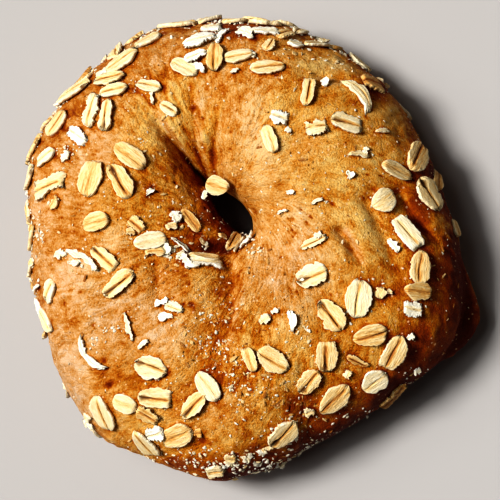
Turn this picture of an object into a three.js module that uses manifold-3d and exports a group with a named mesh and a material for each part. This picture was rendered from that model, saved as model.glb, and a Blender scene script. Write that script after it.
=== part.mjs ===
// An oat bagel, in millimetres with +Z up. It rests on z = 0 with its middle over the origin.
// One rope of dough closes into a ring: its left end slopes down into a narrow slanted hole, the
// rest folds over it there in creases, and rolled oats are baked into the crust.

import * as THREE from 'three';
import { mergeVertices } from 'three/addons/utils/BufferGeometryUtils.js';
import Module from 'manifold-3d';

const wasm = await Module();
wasm.setup();

// Lists round the ring start at +X and go anticlockwise in equal steps.
const ring = {
  reach: [
    53.6, 50.2, 52.6, 54.6, 57.7, 59.2, 60.3, 59.0,
    54.9, 54.8, 59.5, 58.3, 57.7, 51.2, 52.5, 56.6,
  ],
  crestHeight: [36.5, 37, 36, 35, 37, 37.5, 37, 36.5],
  outerRound: [2.05, 2.15, 2.2, 2.3, 2.4, 2.3, 2.2, 2.1],
  widestHeight: 13,
  footRound: 2.3,
  footDip: 1.1,
};

// The hole is an upright slit. Its lip stands at lipShare of the way out to the ring's edge.
const hole = {
  middle: new THREE.Vector2(-3.2, 8.6),
  halfLength: 7.8,
  halfWidth: 3.2,
  turn: THREE.MathUtils.degToRad(-47),
  lipShare: [0.30, 0.32, 0.44, 0.50, 0.50, 0.40, 0.36, 0.30],
  lipRound: [2.1, 2.1, 2.4, 2.6, 2.2, 2.4, 2.2, 2.1],
  throatHeight: [22, 22, 21, 15, 21, 20, 19, 21],
  footRound: 4,
};

// Over this sector, in degrees, the dough runs down to the hole as one open slope.
const slope = {
  from: 132,
  fullFrom: 146,
  fullTo: 200,
  to: 238,
  lipShare: 0.42,
  lipRound: 1.5,
  throatHeight: 25,
};

// A fold is a groove along a curve through three points in plan. Its two sides have a width each,
// which grows by the share grow to the far end, and it fades out over its last part.
const folds = [
  // The long crease and the two beside it gather the dough over the hole's left end.
  { path: [[-8, 13.5], [-17.9, 25.4], [-25.1, 36.2]],
    depth: 9.5, left: 1.6, right: 1.1, grow: 0.3, fade: 1 },
  { path: [[-8.5, 15.5], [-12.5, 24], [-10.6, 41]],
    depth: 5, left: 3.4, right: 1.1, grow: 0.7, fade: 0.9 },
  { path: [[-6.2, 15.5], [-8.6, 24.5], [0.3, 38.6]],
    depth: 3.8, left: 2.4, right: 1.7, grow: 0.5, fade: 0.9 },
  { path: [[-4.5, 16.2], [-5.7, 22.4], [-2.8, 31.2]],
    depth: 1.5, left: 0.8, right: 1.2, grow: 0.4, fade: 0.9 },
  // The slope laps under the dough in front of the hole.
  { path: [[-0.4, 0.8], [-6.2, -5.8], [-18.1, -0.1]],
    depth: 6.5, left: 1.5, right: 4.5, grow: 0, fade: 0.6 },
  { path: [[-1.7, -5], [1.3, -17], [-6.1, -37]],
    depth: 2.7, left: 1.5, right: 5, grow: 0.4, fade: 0.8 },
  { path: [[-19.3, -8], [-19.4, -18.5], [-14, -27.4]],
    depth: 1, left: 2.4, right: 1.4, grow: 0.3, fade: 0.6 },
  // Short wrinkles cross the right shoulder and the back.
  { path: [[25.2, 1.8], [27.6, -1.7], [31.4, -7.6]],
    depth: 3, left: 1.2, right: 1.1, grow: 0, fade: 0.5 },
  { path: [[31.3, 8.8], [36.4, -0.1], [40.1, -14.3]],
    depth: 2.2, left: 3.6, right: 1.3, grow: 0, fade: 0.6 },
  { path: [[39.5, 12.5], [43.5, 4.2], [52.5, -5]],
    depth: 2, left: 1.3, right: 2, grow: 0, fade: 0.5 },
  { path: [[18.8, 40.8], [25.8, 40.2], [32.8, 38.2]],
    depth: 1.2, left: 1.2, right: 1, grow: 0, fade: 0.5 },
];
const foldSteps = 10;
const foldSharpness = 1.4;
const foldRoom = 5;
const leastDistance = 1e-6;

// The rope's tucked end shows as a low swelling at the foot of the ring's right side, under a gap.
const ropeEnd = {
  angle: -19,
  spread: 11,
  swell: { height: 6.2, rise: 5, depth: 5, roundness: 3 },
  gap: { height: 12.4, rise: 2.6, depth: -1.6, roundness: 2 },
};

// Long, low waves in many directions keep the crust from being regular. They die away at the foot.
const lumps = {
  count: 6,
  longest: 36,
  shorten: 0.35,
  highest: 0.36,
  flatten: 0.45,
  firstTurn: 0.4,
  turnStep: 2.4,
  phaseStep: 1.7,
  upward: 0.6,
  calmUpTo: 1,
  fullFrom: 9,
};

const crustGrid = { around: 84, across: 32 };

// Rolled oats, largest first.
const oats = {
  count: 72,
  seed: 41,
  sides: 8,
  longest: 8.4,
  shortest: 5.6,
  widthShare: 0.62,
  thickness: 0.8,
  root: 1.1,
  groove: 0.3,
  bevelShare: 0.78,
  spacing: 6.4,
  tries: 4000,
  lowestHeight: 9,
  holeMargin: 17,
  probe: 0.002,
};

// Places, in plan, where the oats gather. Between these, fewer stick.
const oatZones = [
  { middle: [-34, 30], reach: 26, strength: 1 },
  { middle: [24, -26], reach: 22, strength: 1 },
  { middle: [-26, -40], reach: 22, strength: 1 },
  { middle: [42, 10], reach: 17, strength: 0.7 },
];
const oatsBetweenZones = 0.22;

const crustColour = 0xc98340;
const crustRoughness = 0.6;

// A smooth closed curve through values that stand at equal steps round a turn.
function valueAround(values, angle) {
  const count = values.length;
  const place = THREE.MathUtils.euclideanModulo(angle / (2 * Math.PI), 1) * count;
  const index = Math.floor(place);
  const share = place - index;
  const valueAt = (step) => values[(index + step + count) % count];
  const [before, start, end, after] = [-1, 0, 1, 2].map(valueAt);
  const bend = 2 * before - 5 * start + 4 * end - after;
  const twist = 3 * (start - end) + after - before;
  return start + 0.5 * share * (end - before + share * (bend + share * twist));
}

const smooth = (low, high, value) => THREE.MathUtils.smoothstep(value, low, high);

const foldCurves = folds.map((fold) => {
  const [start, bend, end] = fold.path.map(([x, y]) => new THREE.Vector2(x, y));
  return new THREE.QuadraticBezierCurve(start, bend, end).getPoints(foldSteps);
});

// How far one fold lowers the crust at a point in plan.
function foldDip(point, fold, curve) {
  let nearest = Infinity;
  let lean = 0;
  let share = 0;
  for (let step = 0; step < foldSteps; step += 1) {
    const along = curve[step + 1].clone().sub(curve[step]);
    const away = point.clone().sub(curve[step]);
    const part = THREE.MathUtils.clamp(away.dot(along) / along.lengthSq(), 0, 1);
    const distance = away.clone().addScaledVector(along, -part).length();
    if (distance < nearest) {
      nearest = distance;
      lean = 0.5 + (0.5 * along.cross(away)) / (along.length() * Math.max(distance, leastDistance));
      share = (step + part) / foldSteps;
    }
  }
  const sideShare = THREE.MathUtils.clamp(lean, 0, 1);
  const width = THREE.MathUtils.lerp(fold.right, fold.left, sideShare) * (1 + fold.grow * share);
  const fade = 1 - smooth(1 - fold.fade, 1, share);
  return fold.depth * fade * Math.exp(-((nearest / width) ** foldSharpness));
}

function lumpRise(point) {
  let rise = 0;
  for (let wave = 0; wave < lumps.count; wave += 1) {
    const turn = lumps.firstTurn + lumps.turnStep * wave;
    const length = lumps.longest / (1 + lumps.shorten * wave);
    const height = lumps.highest / (1 + lumps.flatten * wave);
    const travel = point.x * Math.cos(turn) + point.y * Math.sin(turn) + lumps.upward * point.z;
    rise += height * Math.sin((2 * Math.PI * travel) / length + lumps.phaseStep * wave);
  }
  return rise;
}

// The hole's wall at the place that faces an angle round the ring.
function holeWall(angle) {
  const wall = new THREE.Vector2(
    hole.halfLength * Math.cos(angle - hole.turn),
    hole.halfWidth * Math.sin(angle - hole.turn),
  );
  return wall.rotateAround(new THREE.Vector2(), hole.turn).add(hole.middle);
}

// How far the rope's end, or the gap over it, stands out of the ring's side.
function ropeEndSwell(degrees, height) {
  const sideways = (((degrees - ropeEnd.angle + 180) % 360) - 180) / ropeEnd.spread;
  const [swell, gap] = [ropeEnd.swell, ropeEnd.gap].map((layer) => {
    const away = Math.abs(height - layer.height) / layer.rise;
    return layer.depth * Math.exp(-(away ** layer.roundness));
  });
  return (swell + gap) * Math.exp(-(sideways ** 2));
}

// How far a curve reaches in a direction: 1 on a circle, where power is 2, and more towards the
// corners of a squarer curve.
function squaredReach(out, up, power) {
  return (Math.abs(out) ** power + Math.abs(up) ** power) ** (-1 / power);
}

// A point of the crust. Around runs once round the ring. Across runs once round the rope: from its
// outermost line over the top, down the hole and back under.
function crustPoint(around, across) {
  const angle = 2 * Math.PI * around;
  const degrees = 360 * around;
  const out = Math.cos(2 * Math.PI * across);
  const up = Math.sin(2 * Math.PI * across);
  const facesHole = out < 0;
  const opening = smooth(slope.from, slope.fullFrom, degrees);
  const open = opening * (1 - smooth(slope.fullTo, slope.to, degrees));
  const holeValue = (name) => THREE.MathUtils.lerp(valueAround(hole[name], angle), slope[name], open);

  const lipShare = holeValue('lipShare');
  const turnHeight = facesHole ? holeValue('throatHeight') : ring.widestHeight;
  let share;
  let height;
  if (up >= 0) {
    const topRound = facesHole ? holeValue('lipRound') : valueAround(ring.outerRound, angle);
    const reach = squaredReach(out, up, topRound);
    share = lipShare + (facesHole ? lipShare : 1 - lipShare) * out * reach;
    height = turnHeight + (valueAround(ring.crestHeight, angle) - turnHeight) * up * reach;
  } else {
    const reach = squaredReach(out, up, facesHole ? hole.footRound : ring.footRound);
    share = 0.5 + 0.5 * out * reach;
    height = turnHeight * (1 + ring.footDip * up * reach);
  }

  const edge = new THREE.Vector2(Math.cos(angle), Math.sin(angle));
  edge.multiplyScalar(valueAround(ring.reach, angle));
  const plan = holeWall(angle).lerp(edge, share);
  if (up > 0) {
    const room = smooth(0, foldRoom, height - turnHeight);
    folds.forEach((fold, index) => {
      height -= room * foldDip(plan, fold, foldCurves[index]);
    });
  }

  const point = new THREE.Vector3(plan.x, plan.y, height);
  const outward = new THREE.Vector3(Math.cos(angle) * out, Math.sin(angle) * out, up);
  const swell = facesHole ? 0 : ropeEndSwell(degrees, height);
  const wavy = smooth(lumps.calmUpTo, lumps.fullFrom, height) * (facesHole ? Math.max(up, 0) : 1);
  point.addScaledVector(outward, wavy * lumpRise(point));
  point.x += swell * Math.cos(angle);
  point.y += swell * Math.sin(angle);
  point.z = Math.max(point.z, 0);
  return point;
}

// A closed skin over the whole grid, which meets itself both ways.
function crustGeometry() {
  const { around, across } = crustGrid;
  const positions = [];
  const indices = [];
  for (let row = 0; row < around; row += 1) {
    for (let column = 0; column < across; column += 1) {
      positions.push(...crustPoint(row / around, column / across).toArray());
      const here = row * across + column;
      const beside = row * across + ((column + 1) % across);
      const next = ((row + 1) % around) * across + column;
      const nextBeside = ((row + 1) % around) * across + ((column + 1) % across);
      indices.push(here, next, nextBeside, here, nextBeside, beside);
    }
  }
  const geometry = new THREE.BufferGeometry();
  geometry.setAttribute('position', new THREE.Float32BufferAttribute(positions, 3));
  geometry.setIndex(indices);
  return geometry;
}

// A number source that gives the same draws for the same seed.
const drawFactor = 16807;
const drawLimit = 2147483647;
function seededDraw(seed) {
  let state = seed;
  return () => {
    state = (state * drawFactor) % drawLimit;
    return state / drawLimit;
  };
}

// How thickly the oats lie at a point, from 0 to 1.
function oatFullness(point) {
  const gathered = oatZones.reduce((sum, { middle, reach, strength }) => {
    const away = Math.hypot(point.x - middle[0], point.y - middle[1]) / reach;
    return sum + strength * Math.exp(-(away ** 2));
  }, oatsBetweenZones);
  return Math.min(1, gathered);
}

// Places for the oats: drawn over the crust, thinned by fullness and kept apart from each other.
function oatPlaces() {
  const draw = seededDraw(oats.seed);
  const places = [];
  for (let attempt = 0; attempt < oats.tries && places.length < oats.count; attempt += 1) {
    const around = draw();
    const across = 0.5 * draw();
    const point = crustPoint(around, across);
    const turn = Math.PI * draw();
    const keep = draw() < oatFullness(point);
    const fromHole = Math.hypot(point.x - hole.middle.x, point.y - hole.middle.y);
    const apart = places.every((place) => place.point.distanceTo(point) > oats.spacing);
    if (keep && apart && fromHole > oats.holeMargin && point.z > oats.lowestHeight) {
      places.push({ around, across, point, turn });
    }
  }
  return places;
}

// One flat oat with a sunk middle and a root that holds it in the crust.
function oatGeometry(length) {
  const half = 0.5 * length;
  const profile = [
    new THREE.Vector2(0, -oats.root),
    new THREE.Vector2(half, 0),
    new THREE.Vector2(half * oats.bevelShare, oats.thickness),
    new THREE.Vector2(0, oats.thickness - oats.groove),
  ];
  const geometry = new THREE.LatheGeometry(profile, oats.sides);
  geometry.rotateX(Math.PI / 2);
  geometry.scale(1, oats.widthShare, 1);
  return geometry;
}

// The turned frame that stands on the crust at a place, with its Z out of the dough.
function placeOnCrust(place) {
  const step = oats.probe;
  const aroundStep = crustPoint(place.around + step, place.across).sub(place.point);
  const acrossStep = crustPoint(place.around, place.across + step).sub(place.point);
  const outward = new THREE.Vector3().crossVectors(aroundStep, acrossStep).normalize();
  const first = aroundStep.normalize();
  const second = new THREE.Vector3().crossVectors(outward, first);
  const frame = new THREE.Matrix4().makeBasis(first, second, outward);
  frame.multiply(new THREE.Matrix4().makeRotationZ(place.turn));
  return frame.setPosition(place.point);
}

// Manifold needs shared corners and no triangle that has shrunk to a line.
function toSolid(geometry) {
  geometry.deleteAttribute('normal');
  geometry.deleteAttribute('uv');
  const merged = mergeVertices(geometry);
  const corners = merged.attributes.position;
  const order = merged.index.array;
  const kept = [];
  for (let start = 0; start < order.length; start += 3) {
    const [a, b, c] = order.slice(start, start + 3);
    if (a !== b && b !== c && c !== a) {
      kept.push(a, b, c);
    }
  }
  const mesh = new wasm.Mesh({
    numProp: corners.itemSize,
    vertProperties: new Float32Array(corners.array),
    triVerts: new Uint32Array(kept),
  });
  return new wasm.Manifold(mesh);
}

function toGeometry(solid) {
  const mesh = solid.getMesh();
  const geometry = new THREE.BufferGeometry();
  geometry.setAttribute('position', new THREE.BufferAttribute(mesh.vertProperties, 3));
  geometry.setIndex(new THREE.BufferAttribute(mesh.triVerts, 1));
  geometry.computeVertexNormals();
  return geometry;
}

function bagelGeometry() {
  const places = oatPlaces();
  const flakes = places.map((place, index) => {
    const length = THREE.MathUtils.lerp(oats.longest, oats.shortest, index / places.length);
    return toSolid(oatGeometry(length).applyMatrix4(placeOnCrust(place)));
  });
  return toGeometry(wasm.Manifold.union([toSolid(crustGeometry()), ...flakes]));
}

const bagel = new THREE.Mesh(
  bagelGeometry(),
  new THREE.MeshStandardMaterial({ color: crustColour, roughness: crustRoughness, metalness: 0 }),
);
bagel.name = 'bagel';

const part = new THREE.Group();
part.add(bagel);

export default part;
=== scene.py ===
import math

import bmesh
import bpy
import numpy as np
from mathutils import Matrix, Vector
from mathutils.bvhtree import BVHTree
from mathutils.kdtree import KDTree


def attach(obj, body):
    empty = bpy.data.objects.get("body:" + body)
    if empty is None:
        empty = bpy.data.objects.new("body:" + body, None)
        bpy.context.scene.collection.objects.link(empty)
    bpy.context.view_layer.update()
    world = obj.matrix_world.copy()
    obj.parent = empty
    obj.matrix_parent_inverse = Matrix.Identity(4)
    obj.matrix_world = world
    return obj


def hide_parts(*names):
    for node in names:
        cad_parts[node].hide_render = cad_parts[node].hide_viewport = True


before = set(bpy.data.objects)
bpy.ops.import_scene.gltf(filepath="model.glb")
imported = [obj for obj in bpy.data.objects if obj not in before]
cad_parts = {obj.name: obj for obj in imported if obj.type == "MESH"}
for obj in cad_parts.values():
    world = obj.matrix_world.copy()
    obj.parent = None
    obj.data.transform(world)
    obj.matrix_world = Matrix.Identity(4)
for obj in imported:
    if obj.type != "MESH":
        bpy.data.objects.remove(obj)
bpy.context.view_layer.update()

millimetre = 0.001
nearZero = 1e-12
print("frame loaded")


def smooth(low, high, value):
    share = np.clip((value - low) / (high - low), 0, 1)
    return share * share * (3 - 2 * share)


def mix(first, second, share):
    return first + (second - first) * share


def unit(vectors):
    return vectors / (np.linalg.norm(vectors, axis=-1, keepdims=True) + nearZero)


# the direction at a turn round +Z and a height above level, both in degrees
def directionAt(turn, height):
    turn = math.radians(turn)
    height = math.radians(height)
    level = math.cos(height)
    return Vector((math.cos(turn) * level, math.sin(turn) * level, math.sin(height)))


# a smooth closed curve through values that stand at equal steps round a turn
def valueAround(values, angle):
    values = np.array(values, float)
    count = len(values)
    place = (angle / (2 * math.pi)) % 1 * count
    index = np.floor(place).astype(int)
    share = place - index
    before, start, end, after = (values[(index + step) % count] for step in (-1, 0, 1, 2))
    bend = 2 * before - 5 * start + 4 * end - after + share * (3 * (start - end) + after - before)
    return start + 0.5 * share * (end - before + share * bend)


# whole numbers that scramble a cell's place into a draw
scramblers = (374761393, 668265263, 974634777, 1274126177, 1103515245)
drawSteps = 65535
noiseGain = 1.6


# the same draw from -1 to 1 for the same whole-number cell and seed
def cellDraw(cell, seed):
    key = sum(cell[..., axis] * scramblers[axis] for axis in range(3)) + seed * scramblers[3]
    key = (key ^ (key >> 13)) * scramblers[4]
    key = (key ^ (key >> 17)) * scramblers[1]
    key = key ^ (key >> 15)
    return (key & drawSteps) / (drawSteps / 2) - 1


# soft lumps about size across, from about -1 to 1
def softNoise(points, size, seed):
    place = points / size
    cell = np.floor(place).astype(np.int64)
    part = place - cell
    fade = part * part * part * (part * (part * 6 - 15) + 10)
    total = np.zeros(points.shape[:-1])
    for corner in np.ndindex(2, 2, 2):
        corner = np.array(corner)
        away = part - corner
        climb = sum(cellDraw(cell + corner, seed * 3 + axis) * away[..., axis] for axis in range(3))
        total += climb * np.prod(np.where(corner, fade, 1 - fade), axis=-1)
    return total * noiseGain


def layeredNoise(points, layers):
    return sum(height * softNoise(points, size, seed) for size, height, seed in layers)


ring = {
    "reach": [
        53.6, 50.2, 52.6, 54.6, 57.7, 59.2, 60.3, 59.0,
        54.9, 54.8, 59.5, 58.3, 57.7, 51.2, 52.5, 56.6,
    ],
    "crestHeight": [36.5, 37, 36, 35, 37, 37.5, 37, 36.5],
    "outerRound": [2.05, 2.15, 2.2, 2.3, 2.4, 2.3, 2.2, 2.1],
    "widestHeight": 13,
    "footRound": 2.3,
    "footDip": 1.1,
}
hole = {
    "middle": (-3.2, 8.6),
    "halfLength": 7.8,
    "halfWidth": 3.2,
    "turn": math.radians(-47),
    "lipShare": [0.30, 0.32, 0.44, 0.50, 0.50, 0.40, 0.36, 0.30],
    "lipRound": [2.1, 2.1, 2.4, 2.6, 2.2, 2.4, 2.2, 2.1],
    "throatHeight": [22, 22, 21, 15, 21, 20, 19, 21],
    "footRound": 4,
}
slope = {  # the sector, in degrees, where the dough runs down to the hole as one open slope
    "from": 132, "fullFrom": 146, "fullTo": 200, "to": 238,
    "lipShare": 0.42, "lipRound": 1.5, "throatHeight": 25,
}
# folds in the dough: start, bend and end in plan, depth, widths on the left and on the right, how
# much the width grows towards the end, and the share of the length over which the fold fades out
folds = [
    ((-8, 13.5), (-17.9, 25.4), (-25.1, 36.2), 9.5, 1.6, 1.1, 0.3, 1),
    ((-8.5, 15.5), (-12.5, 24), (-10.6, 41), 5, 3.4, 1.1, 0.7, 0.9),
    ((-6.2, 15.5), (-8.6, 24.5), (0.3, 38.6), 3.8, 2.4, 1.7, 0.5, 0.9),
    ((-4.5, 16.2), (-5.7, 22.4), (-2.8, 31.2), 1.5, 0.8, 1.2, 0.4, 0.9),
    ((-0.4, 0.8), (-6.2, -5.8), (-18.1, -0.1), 6.5, 1.5, 4.5, 0, 0.6),
    ((-1.7, -5), (1.3, -17), (-6.1, -37), 2.7, 1.5, 5, 0.4, 0.8),
    ((-19.3, -8), (-19.4, -18.5), (-14, -27.4), 1, 2.4, 1.4, 0.3, 0.6),
    ((25.2, 1.8), (27.6, -1.7), (31.4, -7.6), 3, 1.2, 1.1, 0, 0.5),
    ((31.3, 8.8), (36.4, -0.1), (40.1, -14.3), 2.2, 3.6, 1.3, 0, 0.6),
    ((39.5, 12.5), (43.5, 4.2), (52.5, -5), 2, 1.3, 2, 0, 0.5),
    ((18.8, 40.8), (25.8, 40.2), (32.8, 38.2), 1.2, 1.2, 1, 0, 0.5),
]
# fullCrease is the depth from which a fold's bottom line counts in full, bottomShare its width
foldShape = {"steps": 10, "sharpness": 1.4, "room": 5, "bottomShare": 0.35, "fullCrease": 4}
ropeEnd = {  # a low swelling at the foot of the right side, under a gap
    "angle": -19, "spread": 11,
    "swell": {"height": 6.2, "rise": 5, "depth": 5, "roundness": 3},
    "gap": {"height": 12.4, "rise": 2.6, "depth": -1.6, "roundness": 2},
}
lumps = {
    "count": 6, "longest": 36, "shorten": 0.35, "highest": 0.36, "flatten": 0.45,
    "firstTurn": 0.4, "turnStep": 2.4, "climb": 0.6, "shift": 1.7,
    "heights": (1, 9),  # they set in between these heights, above the flat foot
}


# how far one fold lowers the crust, and how near its bottom line is, from 0 to 1
def foldDip(x, y, start, bend, end, depth, left, right, grow, fadeShare):
    steps = foldShape["steps"]
    shares = np.linspace(0, 1, steps + 1)[:, None]
    curve = (1 - shares) ** 2 * start + 2 * shares * (1 - shares) * bend + shares ** 2 * end
    nearest = np.full(x.shape, np.inf)
    lean = np.zeros(x.shape)
    share = np.zeros(x.shape)
    for step in range(steps):
        alongX, alongY = curve[step + 1] - curve[step]
        span = alongX ** 2 + alongY ** 2
        awayX = x - curve[step, 0]
        awayY = y - curve[step, 1]
        part = np.clip((awayX * alongX + awayY * alongY) / span, 0, 1)
        distance = np.hypot(awayX - part * alongX, awayY - part * alongY)
        side = (alongX * awayY - alongY * awayX) / (math.sqrt(span) * np.maximum(distance, nearZero))
        nearer = distance < nearest
        nearest = np.where(nearer, distance, nearest)
        lean = np.where(nearer, 0.5 + 0.5 * side, lean)
        share = np.where(nearer, (step + part) / steps, share)
    width = mix(right, left, np.clip(lean, 0, 1)) * (1 + grow * share)
    fade = 1 - smooth(1 - fadeShare, 1, share)
    bottomLine = fade * np.exp(-(nearest / (foldShape["bottomShare"] * width)) ** 2)
    bottomLine *= min(1, depth / foldShape["fullCrease"])
    return depth * fade * np.exp(-(nearest / width) ** foldShape["sharpness"]), bottomLine


# long, low waves in many directions keep the crust from being regular
def lumpRise(points):
    rise = 0
    for wave in range(lumps["count"]):
        turn = lumps["turnStep"] * wave + lumps["firstTurn"]
        length = lumps["longest"] / (1 + lumps["shorten"] * wave)
        height = lumps["highest"] / (1 + lumps["flatten"] * wave)
        travel = points @ np.array([math.cos(turn), math.sin(turn), lumps["climb"]])
        rise = rise + height * np.sin(2 * math.pi * travel / length + lumps["shift"] * wave)
    return rise


# points of the crust: around runs round the ring, across round the rope from its outermost line
# over the top, down the hole and back under
def crustForm(around, across):
    angle = 2 * math.pi * around
    degrees = 360 * around
    out = np.cos(2 * math.pi * across)
    up = np.sin(2 * math.pi * across)
    facesHole = out < 0
    isTop = up >= 0
    openShare = smooth(slope["from"], slope["fullFrom"], degrees)
    openShare *= 1 - smooth(slope["fullTo"], slope["to"], degrees)

    def holeValue(name):
        return mix(valueAround(hole[name], angle), slope[name], openShare)

    lipShare = holeValue("lipShare")
    turnHeight = np.where(facesHole, holeValue("throatHeight"), ring["widestHeight"])
    topPower = np.where(facesHole, holeValue("lipRound"), valueAround(ring["outerRound"], angle))
    lowPower = np.where(facesHole, hole["footRound"], ring["footRound"])
    power = np.where(isTop, topPower, lowPower)
    reach = (np.abs(out) ** power + np.abs(up) ** power) ** (-1 / power)
    topShare = lipShare + np.where(facesHole, lipShare, 1 - lipShare) * out * reach
    share = np.where(isTop, topShare, 0.5 + 0.5 * out * reach)
    topRise = (valueAround(ring["crestHeight"], angle) - turnHeight) * up * reach
    height = np.where(isTop, turnHeight + topRise, turnHeight * (1 + ring["footDip"] * up * reach))

    turned = angle - hole["turn"]
    turnX = math.cos(hole["turn"])
    turnY = math.sin(hole["turn"])
    wallX = hole["halfLength"] * np.cos(turned)
    wallY = hole["halfWidth"] * np.sin(turned)
    wallPlanX = hole["middle"][0] + wallX * turnX - wallY * turnY
    wallPlanY = hole["middle"][1] + wallX * turnY + wallY * turnX
    edge = valueAround(ring["reach"], angle)
    planX = mix(wallPlanX, edge * np.cos(angle), share)
    planY = mix(wallPlanY, edge * np.sin(angle), share)

    room = smooth(0, foldShape["room"], height - turnHeight) * isTop
    crease = np.zeros(height.shape)
    for fold in folds:
        dip, bottomLine = foldDip(planX, planY, *fold)
        height = height - room * dip
        crease = np.maximum(crease, room * bottomLine)

    points = np.stack([planX, planY, height], axis=-1)
    outward = np.stack([np.cos(angle) * out, np.sin(angle) * out, up], axis=-1)
    sideways = ((degrees - ropeEnd["angle"] + 180) % 360 - 180) / ropeEnd["spread"]
    swell = 0
    marks = {
        "open": openShare * facesHole * isTop, "crease": crease, "top": isTop, "facesHole": facesHole,
        "fromWall": np.hypot(planX - wallPlanX, planY - wallPlanY),
    }
    for name in ("swell", "gap"):
        layer = ropeEnd[name]
        away = np.abs(height - layer["height"]) / layer["rise"]
        marks[name] = np.where(facesHole, 0, np.exp(-sideways ** 2 - away ** layer["roundness"]))
        swell = swell + layer["depth"] * marks[name]
    calm = smooth(*lumps["heights"], height) * np.where(facesHole, np.maximum(up, 0), 1)
    points = points + outward * (calm * lumpRise(points))[..., None]
    points[..., 0] += swell * np.cos(angle)
    points[..., 1] += swell * np.sin(angle)
    points[..., 2] = np.maximum(points[..., 2], 0)
    return points, marks


def gridNormals(points):
    alongRing = np.roll(points, -1, 0) - np.roll(points, 1, 0)
    alongRope = np.roll(points, -1, 1) - np.roll(points, 1, 1)
    return unit(np.cross(alongRing, alongRope))


def newObject(name, data):
    thing = bpy.data.objects.new(name, data)
    bpy.context.scene.collection.objects.link(thing)
    return thing


# a mesh object from points in millimetres, with numbers and vectors kept on its points
def meshPiece(name, points, faces, values, vectors, smoothShaded=True):
    mesh = bpy.data.meshes.new(name)
    mesh.from_pydata((np.asarray(points).reshape(-1, 3) * millimetre).tolist(), [], faces)
    if smoothShaded:
        mesh.shade_smooth()
    for kind, key, layers in (("FLOAT", "value", values), ("FLOAT_VECTOR", "vector", vectors)):
        for label, numbers in layers.items():
            layer = mesh.attributes.new(label, kind, "POINT")
            layer.data.foreach_set(key, np.ascontiguousarray(numbers, np.float32).ravel())
    mesh.update()
    return newObject(name, mesh)


# the camera comes first, because the oats are set where it sees them
view = {"distance": 650, "lean": 9, "leanTo": -35, "aim": (0.6, -0.6, 14), "frameWidth": 125.5}
viewSpread = view["frameWidth"] / view["distance"]
sensorWidth = 36
framePixels = 500


def buildCamera():
    data = bpy.data.cameras.new("camera")
    camera = newObject("camera", data)
    back = directionAt(view["leanTo"], 90 - view["lean"])
    right = (Vector((1, 0, 0)) - back * back.x).normalized()
    above = back.cross(right)
    place = (Vector(view["aim"]) + back * view["distance"]) * millimetre
    turn = Matrix((right, above, back)).transposed().to_4x4()
    camera.matrix_world = Matrix.Translation(place) @ turn
    data.sensor_width = sensorWidth
    data.lens = sensorWidth / viewSpread
    bpy.context.scene.camera = camera
    return camera


camera = buildCamera()
cameraPlace = np.array(camera.matrix_world.translation) / millimetre
cameraAxes = [np.array(camera.matrix_world.col[axis])[:3] for axis in range(3)]
cameraRight, cameraAbove, cameraBack = cameraAxes


# the direction in which the camera sees a point of its frame, in pixels across and down
def frameRay(x, y):
    right = cameraRight * (x / framePixels - 0.5) * viewSpread
    above = cameraAbove * (0.5 - y / framePixels) * viewSpread
    return unit(right + above - cameraBack)


# where points show in the camera's frame, in pixels across and down
def frameSpot(points):
    away = points - cameraPlace
    pixel = -(away @ cameraBack) * viewSpread / framePixels
    across = framePixels / 2 + (away @ cameraRight) / pixel
    down = framePixels / 2 - (away @ cameraAbove) / pixel
    return across, down


shadowSide = np.array([0.87, -0.5, 0])  # towards where shadows fall

# waves are layers of unevenness, each with a size, a height and a seed. A name that ends in From
# holds where its effect begins and where it is full.
crust = {
    "around": 600, "acrossTop": 136, "acrossUnder": 30,  # points of the grid
    "waves": [(13, 0.36, 11), (6, 0.25, 12), (2.9, 0.20, 13), (1.5, 0.15, 14), (0.9, 0.08, 15)],
    "reliefFrom": (1, 7), "facingFrom": (0.0, 0.3),
    "roughHeight": 0.30, "roughWaves": [(1.0, 1, 51), (0.55, 0.6, 52)],
    "roughPatches": (19, 71), "roughPatchFrom": (0.1, 0.7), "roughPatchShare": 0.5,
    # painted shadow: a dark line of dough along an oat's edge, where its rim mark is above
    # oatShadeRim
    "oatShade": 0.34, "oatShadeReach": 0.5, "oatShadeShift": 0.3, "oatShadeRim": 0.9,
    "pleats": {
        "height": 0.23, "round": 22, "length": 5, "waves": [(1.0, 1, 31), (0.42, 0.7, 37)],
        "swirl": 0.75, "swirlStart": math.radians(115), "swirlMiddle": 25,
        "wander": [(9, 0.06, 33), (3, 0.02, 34)], "holeFrom": (9, 20),
        "patches": (13, 41), "patchFrom": (-0.3, 0.45), "least": 0.15,
        "gatherAt": 2.05, "gatherWidth": 0.42, "gatherFrom": (50, 32), "gathered": 1.5,
    },
    "pits": {
        "count": 60, "seed": 5, "radius": (0.2, 0.42), "depth": 0.45, "lowest": 12, "reach": 3,
        "wobble": [(0.8, 0.5, 61)],
    },
    "toastingAndShading": {
        # how brown the crust is, from 0 to 1, and how much each mark adds: real browning, painted
        # shade and painted light
        "everywhere": 0.37,
        "marks": {
            "lowWall": 0.04, "darkWall": 0.22, "shaded": 0.30, "openSlope": 0.12, "crease": 0.24,
            "inHole": 0.36, "holeRim": 0.30, "toastAndShadeSpots": 1, "paleAndLitSpots": -0.34, "pits": 0.45,
            "pleats": -0.19, "relief": -0.30, "gap": 0.6, "swell": -0.16,
        },
        "mottle": [(10, 0.13, 81), (4, 0.10, 82), (1.6, 0.05, 83)],
        "lowWallFrom": (31, 9), "darkWallFrom": (-0.3, 0.9),
        "shadedSide": np.array([0.78, -0.62, 0]), "shadedFrom": (0.36, 0.78),
        "openFrom": (36, 22), "backWallFrom": (-0.3, 0.3),
        "holeTop": (22, 30), "holeFoot": 14, "rimFrom": (4.2, 0.6), "frontRim": 0.2,
    },
    "patchyRough": 0.5, "patchyCalm": 0.72, "patchyCalmFrom": (0.5, 0.85),
    "goldenFrom": (-0.42, 0.18), "goldenHole": 0.6, "goldenHoleFrom": (26, 8),
}
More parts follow.
